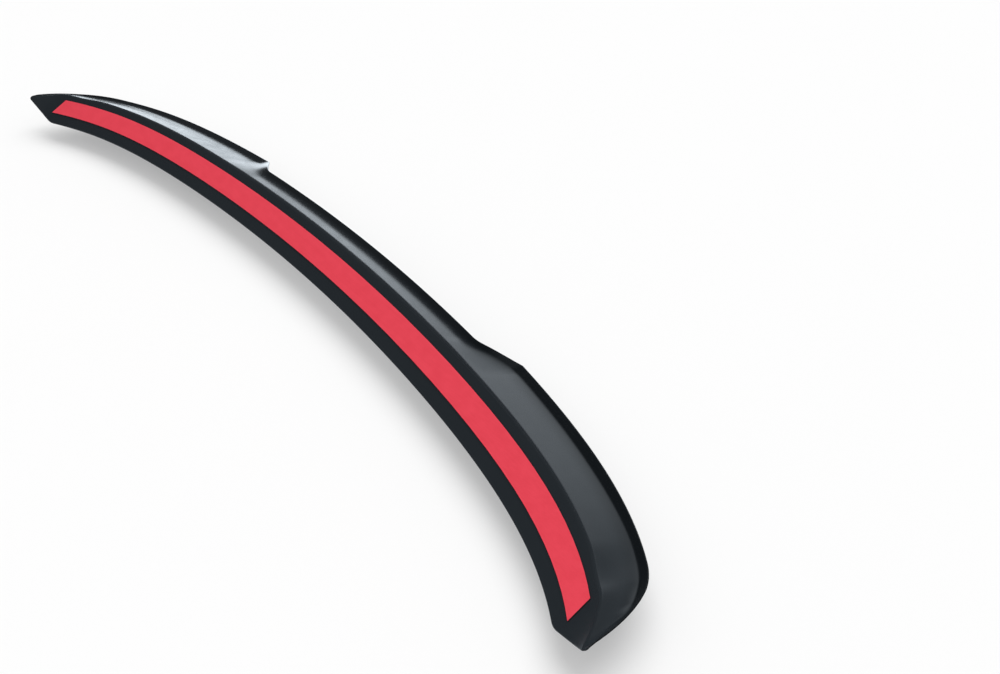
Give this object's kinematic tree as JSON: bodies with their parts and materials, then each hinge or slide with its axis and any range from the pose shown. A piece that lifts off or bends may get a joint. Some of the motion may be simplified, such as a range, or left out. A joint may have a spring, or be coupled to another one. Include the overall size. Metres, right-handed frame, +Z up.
{
  "type": "tailgate spoiler",
  "caption": "Stick-on tailgate spoiler in gloss black plastic: swept lip with raised outer wings, turned-down tips and a bonding foot with foam tape under a red release film.",
  "frame": {"origin": "middle of the bonding plane: half-way across the car, in the middle of the tape's width, on the face of the foam tape that meets the tailgate", "axes": "+X across the car, +Y towards the front of the car, +Z up out of the bonding plane; mounted position"},
  "size_m": [1.2588, 0.163, 0.1057],
  "materials": {
    "body_plastic": "gloss black moulding, satin on the bonding foot",
    "foam": "closed-cell acrylic foam, dull dark grey",
    "red_film": "thin red release film, soft sheen"
  },
  "bodies": {
    "root": {"spoiler": "body_plastic", "foam_tape": "foam", "release_liner": "red_film"}
  },
  "joints": []
}
